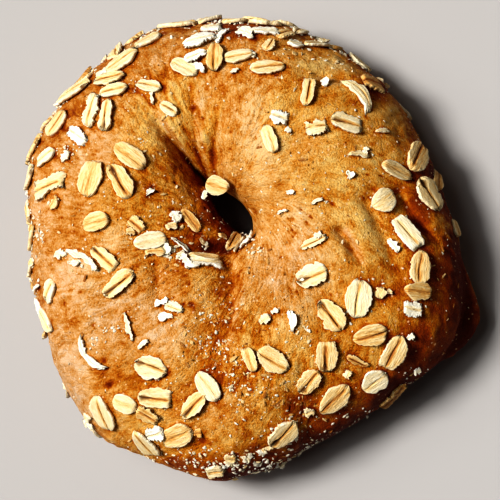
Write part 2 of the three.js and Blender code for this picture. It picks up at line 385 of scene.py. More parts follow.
# soft spots in the camera's frame: x, y, half width, half height, turn in degrees, strength
# pale spots: partly the crust's own paler patches, partly painted light on slopes turned from the
# light
paleAndLitSpots = [
    (266, 140, 29, 56, -10, 0.9), (325, 66, 42, 9, 4, 1.0), (378, 240, 11, 32, 40, 0.7),
    (206, 300, 8, 42, 24, 0.8), (178, 312, 7, 34, 10, 0.6), (372, 122, 26, 12, -20, 0.7),
    (305, 240, 46, 46, 0, 0.6), (318, 272, 26, 22, 0, 0.8), (95, 315, 40, 40, 0, 0.3),
    (150, 85, 20, 16, 0, 0.4), (75, 370, 20, 50, 25, 0.85), (172, 60, 12, 20, 20, 0.5),
    (205, 130, 5, 34, 8, 0.5), (222, 120, 5, 40, -8, 0.35), (350, 200, 50, 14, -20, 0.45),
    (120, 235, 40, 16, 0, 0.35), (255, 230, 8, 20, 0, 0.3), (90, 345, 30, 26, 0, 0.4),
    (300, 300, 30, 30, 0, 0.12), (172, 118, 34, 28, 40, 1.0), (325, 75, 28, 22, 0, 0.45),
    (112, 182, 30, 24, 0, 0.3), (275, 425, 30, 16, 20, 0.25), (320, 120, 30, 26, 0, 0.4),
    (35, 225, 14, 30, 0, 0.5), (380, 268, 11, 26, 30, 0.36), (95, 315, 20, 20, 0, 0.35),
    (120, 278, 26, 20, 0, 0.35), (335, 182, 44, 34, -20, 0.65), (325, 252, 28, 48, 0, 0.6),
    (325, 372, 34, 22, 20, 0.26), (72, 282, 26, 30, 0, 0.5), (372, 318, 24, 26, 0, 0.2),
    (140, 425, 44, 24, 0, 0.45),
]
# toasted spots: partly the crust's own browner patches, partly painted shade on the dark right wall
# and in the hollow below the hole
toastAndShadeSpots = [
    (335, 96, 38, 10, 0, 0.15), (395, 205, 26, 16, -40, 0.2), (222, 350, 12, 50, 4, 0.36),
    (262, 400, 60, 30, 0, 0.13), (240, 462, 100, 14, 0, 0.12), (194, 104, 10, 26, 6, 0.3),
    (215, 128, 4, 40, -4, 0.3), (120, 378, 40, 9, -8, 0.2), (100, 60, 50, 18, 35, 0.14),
    (232, 27, 28, 16, 0, 0.6), (400, 285, 45, 50, 0, 0.24), (75, 325, 30, 30, 0, 0.12),
    (225, 372, 30, 30, 0, 0.3), (215, 27, 60, 13, 0, 0.12), (415, 330, 20, 50, 20, 0.2),
    (190, 232, 36, 20, -30, 0.2), (372, 62, 26, 14, -30, 0.5), (376, 84, 20, 14, 0, 0.42),
    (150, 282, 20, 6, 30, 0.15), (421, 225, 19, 60, 12, 0.48), (439, 185, 9, 46, 14, 0.5),
    (165, 74, 40, 20, 20, 0.13), (95, 115, 50, 32, 30, 0.14), (215, 205, 16, 8, -50, 0.3),
    (224, 251, 14, 7, -20, 0.5), (202, 240, 28, 12, -28, 0.26), (452, 270, 10, 60, 6, 0.25),
    (245, 335, 45, 50, 0, 0.1), (330, 330, 34, 34, 0, 0.1), (178, 274, 24, 24, 0, 0.13),
    (228, 122, 22, 24, 0, 0.1), (262, 472, 80, 8, -7, 0.5), (180, 462, 34, 12, 10, 0.4),
    (250, 72, 80, 22, 0, 0.09), (332, 434, 40, 18, 32, 0.26), (395, 392, 34, 14, 45, 0.3),
    (222, 375, 26, 30, 0, 0.22), (110, 90, 60, 36, 40, 0.14),
]
# spots where the golden shade tint is left off, so the crust stays pinker there
pinkerSpots = [
    (120, 320, 85, 58, 0, 1.0), (288, 275, 46, 46, 0, 0.9), (205, 400, 40, 32, 0, 0.6),
]
roughSpots = [
    (325, 66, 44, 11, 4, 1.0), (262, 110, 30, 44, -10, 0.7), (222, 330, 34, 60, 0, 0.8),
    (262, 400, 60, 40, 0, 0.6), (375, 235, 30, 40, 40, 0.5), (150, 110, 40, 30, 30, 0.4),
]
# dark pits that stand out: x, y in the camera's frame, radius in millimetres
darkPits = [
    (194, 108, 0.8), (193, 304, 0.8), (203, 440, 1.5), (104, 361, 0.9), (108, 387, 0.9),
    (333, 203, 0.7), (311, 217, 0.5), (349, 176, 0.5), (291, 219, 0.6), (63, 302, 0.5),
    (80, 292, 0.5), (94, 324, 0.6), (231, 132, 0.4), (206, 208, 0.4), (373, 190, 0.6),
    (358, 88, 0.8), (396, 99, 0.9), (398, 104, 0.7),
]


# a soft mask over what the camera sees, from turned spots
def spotMask(points, facing, spots):
    across, down = frameSpot(points)
    mask = np.zeros(across.shape)
    for x, y, halfWidth, halfHeight, turn, strength in spots:
        turn = math.radians(turn)
        alongX = (across - x) * math.cos(turn) - (down - y) * math.sin(turn)
        alongY = (across - x) * math.sin(turn) + (down - y) * math.cos(turn)
        closeness = np.exp(-(alongX / halfWidth) ** 2 - (alongY / halfHeight) ** 2)
        mask = np.maximum(mask, strength * closeness)
    return mask * facing


def crustGrid():
    around = np.arange(crust["around"]) / crust["around"]
    top = np.linspace(0, 0.5, crust["acrossTop"], endpoint=False)
    under = np.linspace(0.5, 1, crust["acrossUnder"], endpoint=False)
    return np.meshgrid(around, np.concatenate([top, under]), indexing="ij")


# stretch marks that swirl out from the hole, straight where the folds gather, and the space in
# which they are drawn out
def crustPleats(form):
    look = crust["pleats"]
    awayX = form[..., 0] - hole["middle"][0]
    awayY = form[..., 1] - hole["middle"][1]
    fromHole = np.hypot(awayX, awayY)
    bearing = np.arctan2(awayY, awayX)
    gathered = np.exp(-((bearing - look["gatherAt"]) / look["gatherWidth"]) ** 2)
    gathered *= smooth(*look["gatherFrom"], fromHole)
    swirl = look["swirl"] * (0.5 - 0.5 * np.cos(bearing - look["swirlStart"]))
    swirl *= np.log((fromHole + 1) / look["swirlMiddle"])
    bearing = bearing + swirl + layeredNoise(form, look["wander"])
    space = np.stack([
        np.cos(bearing) * look["round"],
        np.sin(bearing) * look["round"],
        fromHole / look["length"],
    ], axis=-1)
    patches = smooth(*look["patchFrom"], softNoise(form, *look["patches"]))
    strength = np.maximum(mix(look["least"], 1, patches), look["gathered"] * gathered)
    strength *= smooth(*look["holeFrom"], fromHole)
    return layeredNoise(space, look["waves"]) * strength, space


# how near each crust point is to a pit, from 0 to 1
def crustPits(form, isTop, facing):
    look = crust["pits"]
    draw = np.random.default_rng(look["seed"])
    flat = form.reshape(-1, 3)
    candidates = np.flatnonzero(isTop.ravel() & (flat[:, 2] > look["lowest"]))
    chosen = draw.choice(candidates, look["count"])
    spots = [(flat[index], draw.uniform(*look["radius"])) for index in chosen]
    across, down = frameSpot(flat)
    hidden = facing.ravel() < 0.5
    for x, y, radius in darkPits:
        distance = np.where(hidden, np.inf, (across - x) ** 2 + (down - y) ** 2)
        spots.append((flat[np.argmin(distance)], radius))
    closeness = np.zeros(len(flat))
    wobble = 1 + layeredNoise(flat, look["wobble"])
    for spot, radius in spots:
        near = np.flatnonzero(np.abs(flat - spot).max(axis=1) < look["reach"] * radius)
        distance = ((flat[near] - spot) ** 2).sum(axis=1) * wobble[near] / radius ** 2
        closeness[near] = np.maximum(closeness[near], np.exp(-distance))
    return closeness.reshape(form.shape[:-1])


# how brown each place is, with painted shade and painted light counted in as brown and pale
def crustToastAndShade(form, normals, facing, marks):
    look = crust["toastingAndShading"]
    height = form[..., 2]
    backWall = smooth(*look["backWallFrom"], normals @ shadowSide)
    lowWall = smooth(*look["lowWallFrom"], height)
    holeRim = smooth(*look["rimFrom"], marks["fromWall"]) * mix(look["frontRim"], 1, backWall)
    inHole = 1 - smooth(look["holeFoot"], mix(*look["holeTop"], backWall), height)
    marks = {
        **marks,
        "lowWall": lowWall,
        # painted shade: darker on the low wall and on the side turned from the light
        "darkWall": lowWall * smooth(*look["darkWallFrom"], normals @ shadowSide),
        "shaded": smooth(*look["shadedFrom"], normals @ look["shadedSide"]),
        # painted shade on the open slope down to the hole, and in and round the hole
        "openSlope": marks["open"] * smooth(*look["openFrom"], height),
        "inHole": marks["facesHole"] * inHole,
        "holeRim": marks["facesHole"] * holeRim,
        "toastAndShadeSpots": spotMask(form, facing, toastAndShadeSpots),
        "paleAndLitSpots": spotMask(form, facing, paleAndLitSpots),
    }
    toastAndShade = look["everywhere"] + layeredNoise(form, look["mottle"])
    # crease and gap add painted shade in the folds and the rope end's gap, and swell takes shade off
    # as painted light; pits darken the pits, pleats and relief lighten rises
    return toastAndShade + sum(amount * marks[name] for name, amount in look["marks"].items())


# toastAndShade and goldenShade tell the crust's colour, both with painted shade in them, and patchy
# how uneven it is
def buildCrust():
    form, marks = crustForm(*crustGrid())
    normals = gridNormals(form)
    facing = smooth(*crust["facingFrom"], normals @ cameraBack)
    pleats, flow = crustPleats(form)
    pits = crustPits(form, marks["top"], facing)
    roughPatches = smooth(*crust["roughPatchFrom"], softNoise(form, *crust["roughPatches"]))
    rough = spotMask(form, facing, roughSpots)
    rough = np.maximum(rough, crust["roughPatchShare"] * roughPatches)
    relief = crust["pleats"]["height"] * pleats - crust["pits"]["depth"] * pits
    relief += layeredNoise(form, crust["waves"])
    relief += crust["roughHeight"] * rough * layeredNoise(form, crust["roughWaves"])
    points = form + normals * (relief * smooth(*crust["reliefFrom"], form[..., 2]))[..., None]
    points[..., 2] = np.maximum(points[..., 2], 0)

    marks = {**marks, "pleats": pleats, "pits": pits, "relief": relief}
    toastAndShade = crustToastAndShade(form, normals, facing, marks)
    calm = crust["patchyCalm"] * smooth(*crust["patchyCalmFrom"], toastAndShade)
    patchy = (1 + crust["patchyRough"] * rough) * (1 - calm)
    # painted shade: a warmer golden tint where the crust is turned from the light and near the hole
    nearHole = crust["goldenHole"] * smooth(*crust["goldenHoleFrom"], marks["fromWall"])
    goldenShade = np.maximum(smooth(*crust["goldenFrom"], normals @ shadowSide), nearHole)
    goldenShade *= 1 - spotMask(form, facing, pinkerSpots)
    index = np.arange(toastAndShade.size).reshape(toastAndShade.shape)
    beside = np.roll(index, -1, 0)
    corners = [index, beside, np.roll(beside, -1, 1), np.roll(index, -1, 1)]
    faces = np.stack(corners, axis=-1).reshape(-1, 4).tolist()
    values = {"toastAndShade": toastAndShade, "patchy": patchy, "goldenShade": goldenShade}
    piece = meshPiece("crust", points, faces, values, {"flow": flow})
    return piece, points.reshape(-1, 3), normals.reshape(-1, 3), faces


crustPiece, crustPoints, crustNormals, crustFaces = buildCrust()
crustTree = BVHTree.FromPolygons(crustPoints.tolist(), crustFaces)
print("crust built:", len(crustFaces), "faces")

# a seat is looked for a little nearer to the frame's middle at each try
seats = {"tries": 30, "pull": 0.012, "reach": 2.5}


# where a pixel's ray meets the crust: the point in millimetres and the way out of the dough there
def seatFromFrame(x, y):
    middle = framePixels / 2
    for attempt in range(seats["tries"]):
        pull = seats["pull"] * attempt
        ray = frameRay(mix(x, middle, pull), mix(y, middle, pull))
        spot, *_ = crustTree.ray_cast(Vector(cameraPlace), Vector(ray))
        if spot is not None:
            return np.array(spot), softNormal(np.array(spot))
    return None


# the crust's direction over a patch, without its fine relief
def softNormal(spot):
    found = crustTree.find_nearest_range(Vector(spot), seats["reach"])
    return unit(sum((np.array(normal) for place, normal, *_ in found), np.zeros(3)))


# the direction along the crust that shows at a turn, in degrees, in the camera's frame
def turnedAxis(out, turn):
    turn = math.radians(turn)
    shown = cameraRight * math.cos(turn) + cameraAbove * math.sin(turn)
    return unit(np.cross(out, np.cross(cameraBack, shown)))


# how long a direction shows in the camera's frame, from 0 to 1
def shownShare(axis):
    return np.linalg.norm(axis - cameraBack * (axis @ cameraBack))


oats = {
    "seed": 23,
    "stations": 27, "shardStations": 13,
    # how far out from the groove each line of points runs, on top and underneath
    "shares": (0.03, 0.09, 0.18, 0.3, 0.45, 0.62, 0.8, 0.93, 1.0), "underShares": (0.93, 0.45),
    # the outline: where an end breaks off, how one end is wider, waves and nicks in its edge
    "breakAt": (0.62, 0.9), "skew": 0.13, "waves": 4, "waveTurn": 2.2,
    "waveStart": 6.3, "nickAbove": 0.9, "nickDepth": -1.8, "edgeLimits": (0.4, 1.3),
    "endNick": 0.06, "endNickGrow": (0.5, 5), "endNickFrom": (0.6, 1),
    # the groove: how far it drifts, leans and bends, where its crack runs, how it opens
    "drift": (0.09, 0.07, 0.06), "crackStart": (-1.2, 0.1), "crackLength": (0.8, 1.6),
    "crackFade": 0.3, "openStart": 0.3, "openMost": 0.55, "openFrom": (0.05, 0.35),
    "valleyWidth": 0.42, "valleyFullWidth": 4.5, "valleyEnd": (1, 0.7), "valleyShade": 6,
    "crackWidth": 0.11,
    # the body: it is thinner where the oat is narrow, and its rim and ends are rounded
    "thickness": 0.8, "thinnest": 0.4, "thinWidth": 8, "rimShare": 0.84, "rimRound": 5,
    "rimLimit": 0.999, "rimFrom": (0.75, 1), "endRound": 14, "sunk": -0.2, "underDip": 0.04,
    "ripple": 0.08, "rippleAcross": 5, "rippleAlong": 0.7, "rippleBend": (0.6, 0.8),
    "rippleStart": 6, "grain": 0.035, "grainGrow": (0.6, 3),
    # how it warps, twists and cups, and how far its bend in plan varies
    "warp": (-0.12, 0.25), "twist": 0.2, "cup": (0.0, 0.2), "arcSpread": (0.8, 1.2), "arcMiddle": 0.4,
    # how it sits: share of the crust's bend that it follows, lift, tilt of one edge, height in a pile
    "conform": 0.62, "mostBend": 2.5, "lift": 0.16, "tilt": (0.2, 0.6),
    "pileStep": 0.34, "pileNear": 0.4, "pileMost": 2, "pileLength": 3.5,
    # where the crust below it is felt out, in shares of its half length and half width
    "feltAlong": (-0.9, -0.45, 0, 0.45, 0.9), "feltAcross": (-0.8, 0, 0.8),
    "feltHeight": 4, "feltReach": 9, "feltLeast": 8,
    # a foreshortened oat is drawn longer and wider, up to these limits
    "leastShown": (0.7, 0.55), "widest": 0.85,
    "grainScale": 0.16, "grainLots": 50,
}
hiddenOats = {
    "count": 58, "spacing": 7.0, "lowest": 6,
    "kinds": {"whole": 0.35, "smooth": 0.2, "split": 0.2, "broken": 0.1, "shard": 0.15},
    "length": (6.5, 8.8), "shardLength": (2.5, 5), "widthShare": (0.5, 0.66),
    "tone": (0.5, 0.12), "toneLimits": (0.2, 1), "shardTone": (0.6, 1),
}
# for each kind: depth of its valley and of the crack in it, how wide it opens at one end, small
# nicks and longer waves in its edge, how blunt it is, how often an end is broken off, bend in plan
oatMarks = ("valley", "crack", "open", "nick", "wave", "blunt", "cut", "arc")
oatKinds = {
    "whole": (0.14, 0.55, 0.0, 0.035, 0.09, (2.0, 2.7), 0.12, 0),
    "smooth": (0.07, 0.12, 0.0, 0.02, 0.08, (2.0, 2.6), 0.05, 0),
    "split": (0.17, 0.85, 0.26, 0.045, 0.11, (2.1, 3.0), 0.15, 0),
    "broken": (0.14, 0.4, 0.06, 0.12, 0.2, (2.2, 4.0), 0.7, 0),
    "shard": (0.06, 0.0, 0.0, 0.2, 0.3, (1.9, 3.2), 0.4, 0.04),
    "hook": (0.08, 0.0, 0.0, 0.16, 0.24, (3.0, 4.5), 0.3, 0.33),
    "curl": (0.10, 0.0, 0.0, 0.14, 0.16, (2.0, 2.8), 0.3, 0.17),
}
oatPieceOf = {
    "whole": "wholeOats", "smooth": "wholeOats", "split": "splitOats", "broken": "splitOats",
    "shard": "oatShards", "curl": "oatShards", "hook": "oatShards",
}
# one oat is baked to the hole's rim at a pixel and reaches out over the hole, in pixels
perchedOat = {
    "rim": (230, 178), "reach": (-12, 7), "long": 23, "wide": 19, "turn": -15, "kind": "smooth",
    "tone": 0.52, "lean": 0.35,
}
# each oat that the camera sees: x, y, length and width in its frame's pixels, turn in degrees, kind,
# and tone from 0, toasted, to 1, floury white; oats that lie in shade have lower tones, as painted
# shade
seenOats = [
    # upper left shoulder
    (177, 26, 38, 16, 5, "whole", 0.5), (148, 41, 28, 14, 30, "smooth", 0.55),
    (122, 62, 37, 16, 35, "whole", 0.55), (103, 74, 15, 9, 35, "shard", 0.85),
    (87, 80, 17, 10, 42, "smooth", 0.5), (74, 93, 38, 17, 27, "whole", 0.6),
    (64, 102, 21, 9, 25, "shard", 0.8), (111, 81, 31, 13, 12, "split", 0.5),
    (114, 91, 28, 13, 14, "whole", 0.6), (92, 110, 33, 15, 77, "broken", 0.6),
    (107, 115, 31, 15, 82, "split", 0.6), (58, 124, 30, 15, 57, "whole", 0.5),
    (77, 136, 22, 13, -35, "broken", 1.0), (46, 157, 22, 14, 36, "whole", 0.75),
    (66, 157, 12, 11, 60, "shard", 0.85), (49, 185, 31, 19, 18, "broken", 0.6),
    (55, 203, 13, 10, 60, "shard", 0.4),
    # left lobe
    (91, 179, 36, 24, 75, "smooth", 0.4), (120, 181, 38, 21, -57, "split", 0.45),
    (130, 156, 37, 20, -38, "smooth", 0.45), (96, 222, 27, 19, 17, "smooth", 0.5),
    (136, 225, 18, 12, -45, "broken", 0.4), (131, 232, 9, 7, 0, "shard", 0.4),
    (150, 241, 33, 18, 10, "smooth", 0.7), (149, 192, 9, 5, 50, "shard", 0.9),
    (169, 109, 20, 12, -35, "whole", 0.6), (149, 86, 25, 13, -12, "whole", 0.6),
    (152, 98, 13, 4, -80, "shard", 0.9),
    # top
    (184, 68, 29, 16, -28, "smooth", 0.7), (196, 57, 22, 11, 22, "broken", 1.0),
    (200, 41, 32, 12, 12, "broken", 1.0), (200, 68, 14, 6, -40, "shard", 0.95),
    (215, 58, 28, 17, 88, "whole", 0.35), (211, 29, 20, 11, 5, "broken", 0.9),
    (221, 36, 15, 8, 60, "shard", 1.0), (239, 57, 30, 14, 10, "whole", 0.6),
    (235, 71, 9, 5, 25, "shard", 0.95), (235, 22, 25, 9, 3, "smooth", 0.5),
    (246, 34, 17, 9, -30, "shard", 0.9), (251, 55, 10, 9, 0, "shard", 0.9),
    (265, 25, 33, 16, -4, "whole", 0.45), (264, 33, 30, 8, 0, "shard", 0.85),
    (284, 35, 15, 11, 20, "broken", 0.35), (269, 45, 13, 10, 60, "broken", 0.55),
    (295, 45, 15, 9, -10, "shard", 0.75), (317, 45, 25, 10, 0, "whole", 0.5),
    (335, 46, 12, 7, -10, "shard", 0.3), (268, 68, 34, 15, 5, "whole", 0.55),
    (307, 92, 28, 13, 80, "whole", 0.45), (359, 94, 38, 10, -50, "curl", 0.65),
    (372, 84, 20, 18, -20, "broken", 0.2), (324, 83, 8, 5, -60, "shard", 0.9),
    (279, 117, 18, 14, -15, "broken", 1.0), (288, 130, 7, 6, 0, "shard", 0.95),
    (270, 139, 29, 15, -72, "smooth", 0.5), (317, 127, 21, 16, 12, "broken", 0.6),
    (346, 123, 31, 18, -14, "split", 0.6),
    # right side
    (417, 157, 31, 23, 62, "whole", 0.35), (396, 171, 32, 16, -25, "smooth", 0.45),
    (429, 195, 36, 18, -62, "split", 0.45), (441, 179, 22, 10, 85, "smooth", 0.3),
    (384, 200, 25, 23, 30, "smooth", 0.55), (407, 233, 37, 17, -50, "whole", 0.7),
    (393, 246, 16, 7, -50, "shard", 1.0), (358, 155, 20, 7, -8, "shard", 0.6),
    (365, 151, 7, 5, 60, "shard", 0.8), (382, 131, 13, 6, 5, "shard", 0.6),
    (457, 228, 18, 8, -75, "smooth", 0.35), (349, 175, 9, 7, -60, "shard", 0.95),
    (291, 192, 8, 5, 10, "shard", 0.9), (317, 201, 12, 4, 28, "shard", 0.9),
    (283, 211, 10, 4, 15, "shard", 0.9), (419, 267, 33, 19, 86, "whole", 0.4),
    (417, 291, 27, 18, -8, "smooth", 0.35), (412, 309, 18, 14, -10, "broken", 1.0),
    (380, 293, 11, 10, 80, "shard", 0.5), (389, 292, 6, 5, 0, "shard", 0.6),
    # lower right
    (314, 242, 27, 9, 26, "broken", 0.7), (318, 235, 8, 7, 0, "shard", 0.95),
    (312, 275, 32, 23, 18, "split", 0.65), (358, 299, 38, 27, 82, "whole", 0.6),
    (331, 315, 36, 23, -55, "split", 0.5), (370, 335, 34, 20, 12, "whole", 0.4),
    (393, 352, 35, 20, 65, "whole", 0.4), (273, 360, 35, 22, -32, "whole", 0.5),
    (250, 360, 25, 13, -68, "smooth", 0.45), (326, 357, 30, 20, 88, "split", 0.4),
    (308, 381, 28, 17, 50, "split", 0.45), (334, 399, 38, 19, 46, "whole", 0.45),
    (374, 381, 28, 20, 35, "smooth", 0.6), (389, 398, 23, 17, 40, "broken", 0.2),
    (283, 433, 33, 19, 48, "split", 0.45), (292, 321, 21, 8, -82, "shard", 0.95),
    (265, 319, 12, 10, 30, "shard", 0.6), (275, 311, 9, 5, 20, "shard", 0.95),
    (309, 411, 10, 9, 20, "shard", 0.6), (347, 374, 8, 7, 80, "shard", 0.7),
    (358, 361, 24, 8, -25, "broken", 0.3), (410, 336, 8, 5, 30, "shard", 0.95),
    (417, 370, 7, 4, 20, "shard", 0.9), (398, 392, 20, 9, 60, "curl", 0.15),
    # lower left
    (104, 258, 31, 17, -40, "split", 0.6), (80, 256, 29, 7, -28, "shard", 0.95),
    (94, 264, 15, 5, -60, "shard", 0.9), (61, 254, 13, 9, 0, "shard", 0.8),
    (75, 263, 10, 6, 0, "shard", 0.95), (118, 283, 37, 18, 35, "split", 0.6),
    (51, 292, 21, 17, 70, "split", 0.7), (39, 322, 27, 13, -58, "smooth", 0.65),
    (32, 309, 20, 6, -70, "shard", 0.9), (31, 268, 18, 8, 75, "shard", 0.6),
    (37, 287, 13, 5, 35, "shard", 0.9), (162, 302, 15, 8, 25, "shard", 1.0),
    (175, 307, 18, 10, -22, "broken", 0.75), (166, 317, 15, 8, 0, "shard", 1.0),
    (89, 354, 40, 9, 125, "hook", 1.0), (127, 323, 21, 6, -78, "shard", 0.8),
    (131, 335, 12, 4, -75, "shard", 0.85), (143, 344, 13, 5, 38, "shard", 0.8),
    (151, 367, 33, 21, -15, "split", 0.6), (208, 386, 34, 20, -55, "smooth", 0.6),
    (194, 404, 32, 17, 47, "split", 0.45), (155, 397, 33, 18, -8, "split", 0.55),
    (125, 403, 25, 17, -22, "smooth", 0.55), (103, 413, 36, 22, -72, "whole", 0.6),
    (148, 415, 23, 14, -28, "broken", 0.35), (145, 443, 30, 18, -52, "whole", 0.5),
    (177, 435, 31, 23, 25, "smooth", 0.45), (155, 432, 17, 14, 20, "broken", 1.0),
    (88, 417, 13, 8, 10, "shard", 0.7), (90, 423, 16, 7, -30, "shard", 0.8),
    (198, 432, 8, 7, 0, "shard", 0.3), (215, 470, 17, 9, 10, "broken", 0.6),
    (230, 457, 12, 8, 0, "shard", 0.5),
    # round the hole
    (190, 221, 28, 9, -52, "smooth", 0.3), (175, 217, 12, 9, -60, "shard", 0.95),
    (171, 226, 11, 8, 10, "shard", 0.6), (233, 241, 22, 11, 58, "whole", 0.4),
    (240, 247, 20, 5, 52, "shard", 0.7), (247, 243, 18, 4, 50, "shard", 1.0),
    (252, 240, 12, 6, 60, "shard", 1.0), (205, 263, 34, 12, -6, "broken", 0.95),
    (204, 259, 30, 7, -8, "smooth", 0.5), (155, 252, 20, 10, 0, "curl", 0.5),
    (165, 250, 12, 8, -50, "shard", 1.0), (180, 245, 22, 6, -38, "shard", 0.9),
    (186, 262, 15, 7, -45, "shard", 0.9), (180, 255, 8, 6, 50, "shard", 0.8),
    (222, 236, 9, 6, -30, "shard", 0.5), (204, 195, 9, 4, 80, "shard", 0.9),
    (230, 217, 5, 2, -75, "shard", 0.95),
]


# how the crust falls away from a seat, as a smooth bowl over an oat's length and width
def crustBend(spot, out, long, wide, halfLength, halfWidth):
    rows = []
    drops = []
    for alongShare in oats["feltAlong"]:
        for acrossShare in oats["feltAcross"]:
            x = alongShare * halfLength
            y = acrossShare * halfWidth
            start = spot + long * x + wide * y + out * oats["feltHeight"]
            hit, *_, distance = crustTree.ray_cast(Vector(start), Vector(-out), oats["feltReach"])
            if hit is not None:
                rows.append((1, x, y, x * x, x * y, y * y))
                drops.append(oats["feltHeight"] - distance)
    if len(rows) < oats["feltLeast"]:
        return np.zeros(6)
    return np.linalg.lstsq(np.array(rows), np.array(drops), rcond=None)[0]


def swing(draw, reach):
    return draw.uniform(-reach, reach)


# half the width of an oat along one of its sides
def oatEdge(look, width, along, outline, draw):
    waves = 0
    for rank in range(1, oats["waves"] + 1):
        size = draw.normal() / rank
        start = draw.uniform(0, oats["waveStart"])
        waves = waves + size * np.sin(rank * oats["waveTurn"] * along + start)
    nicks = draw.normal(size=len(along))
    nicks += (draw.uniform(size=len(along)) > oats["nickAbove"]) * oats["nickDepth"]
    uneven = np.clip(1 + look["wave"] * waves + look["nick"] * nicks, *oats["edgeLimits"])
    return 0.5 * width * outline * uneven


# faces of a closed tube of points, with a last point for each of its two ends
def tubeFaces(stations, count):
    faces = []
    first = stations * count
    last = first - count
    for start in range(0, last, count):
        for column in range(count):
            here = start + column
            beside = start + (column + 1) % count
            faces.append((here, here + count, beside + count, beside))
    for column in range(count):
        beside = (column + 1) % count
        faces.append((first, column, beside))
        faces.append((first + 1, last + beside, last + column))
    return faces


# one oat in its own frame: X along it, Z out of the dough
def oatShape(kind, length, width, draw):
    look = dict(zip(oatMarks, oatKinds[kind]))
    half = 0.5 * length
    small = kind in ("shard", "curl")
    stations = oats["shardStations"] if small else oats["stations"]
    along = -np.cos(np.linspace(0, math.pi, stations + 2)[1:-1])
    breaks = [1, 1]
    for end in range(2):
        if draw.uniform() < look["cut"]:
            breaks[end] = draw.uniform(*oats["breakAt"])
    outline = 1 - np.abs(along * np.where(along < 0, *breaks)) ** draw.uniform(*look["blunt"])
    outline = np.sqrt(outline) * (1 + swing(draw, oats["skew"]) * along)

    # the groove's line, the window in which it is cracked, and how far its sides stand apart
    middle = sum(swing(draw, reach) * along ** power for power, reach in enumerate(oats["drift"]))
    middle = width * middle * outline
    crackFrom = draw.uniform(*oats["crackStart"])
    crackTo = crackFrom + draw.uniform(*oats["crackLength"])
    cracked = smooth(crackFrom, crackFrom + oats["crackFade"], along)
    cracked *= smooth(crackTo + oats["crackFade"], crackTo, along)
    opening = look["open"] * width * smooth(swing(draw, oats["openStart"]), 1, along)
    shares = np.array(oats["shares"])
    under = np.array(oats["underShares"])
    columns = np.concatenate([-shares[::-1], [0], shares, under, -under[::-1]])
    isTop = np.arange(len(columns)) < 2 * len(shares) + 1
    y = np.zeros((stations, len(columns)))
    for side in (-1, 1):
        edge = oatEdge(look, width, along, outline, draw)
        inner = np.minimum(opening, oats["openMost"] * edge)
        mine = np.sign(columns) == side
        y[:, mine] = side * (inner[:, None] + np.abs(columns[mine]) * (edge - inner)[:, None])
        y[:, mine] += (1 - np.abs(columns[mine])) * middle[:, None]
    y[:, columns == 0] = middle[:, None]
    least, grow = oats["endNickGrow"]
    endNicks = oats["endNick"] * draw.normal(size=len(columns)) * (least + grow * look["nick"])
    x = half * (along[:, None] + endNicks * smooth(*oats["endNickFrom"], np.abs(along))[:, None])

    fromEdge = np.abs(columns)[None, :] * np.ones_like(x)
    thickness = oats["thickness"] * min(1, oats["thinnest"] + width / oats["thinWidth"])
    dome = np.sqrt(1 - np.minimum(fromEdge, oats["rimLimit"]) ** oats["rimRound"])
    top = thickness * mix(oats["rimShare"], 1, dome)
    fromMiddle = np.abs(y - middle[:, None])
    valleyWidth = oats["valleyWidth"] * min(1, width / oats["valleyFullWidth"])
    valley = np.exp(-(fromMiddle / valleyWidth) ** 2)
    valley *= smooth(*oats["valleyEnd"], np.abs(along))[:, None]
    crack = np.exp(-(fromMiddle / oats["crackWidth"]) ** 2) * cracked[:, None]
    top -= look["valley"] * valley + look["crack"] * crack
    bend, bendLength = oats["rippleBend"]
    starts = draw.uniform(0, oats["rippleStart"], 2)
    ripple = np.sin(y * oats["rippleAcross"] + starts[0] + bend * np.sin(x * bendLength))
    top += oats["ripple"] * ripple * np.sin(x * oats["rippleAlong"] + starts[1])
    least, grow = oats["grainGrow"]
    top += oats["grain"] * draw.normal(size=top.shape) * (least + grow * look["nick"])
    isOpen = smooth(*oats["openFrom"], opening)[:, None] * (columns == 0)
    top = mix(top, oats["sunk"], isOpen)
    closing = (1 - np.abs(along) ** oats["endRound"])[:, None]
    z = np.where(isTop, mix(oats["sunk"], top, closing), oats["sunk"] - oats["underDip"])
    z += draw.uniform(*oats["warp"]) * (x / half) ** 2
    z += swing(draw, oats["twist"]) * along[:, None] * columns
    z += draw.uniform(*oats["cup"]) * columns ** 2
    arc = look["arc"] * draw.uniform(*oats["arcSpread"]) * length
    y = y + arc * ((x / half) ** 2 - oats["arcMiddle"])

    points = np.stack([x, y, z], axis=-1).reshape(-1, 3)
    ends = [[end, arc * (1 - oats["arcMiddle"]), oats["sunk"]] for end in (-half, half)]
    marks = {
        # the valley mark is partly the oat's own tan middle and partly painted shade in the groove;
        # the crack mark is painted shade in the crack
        "valley": valley * isTop * min(1, look["valley"] * oats["valleyShade"]),
        "crack": np.minimum(np.maximum(look["crack"] * crack, isOpen), 1),
        "rim": np.where(isTop, smooth(*oats["rimFrom"], fromEdge), 1.0),
    }
    marks = {label: np.append(mark.ravel(), [0, 0]) for label, mark in marks.items()}
    return np.vstack([points, ends]), tubeFaces(stations, len(columns)), marks


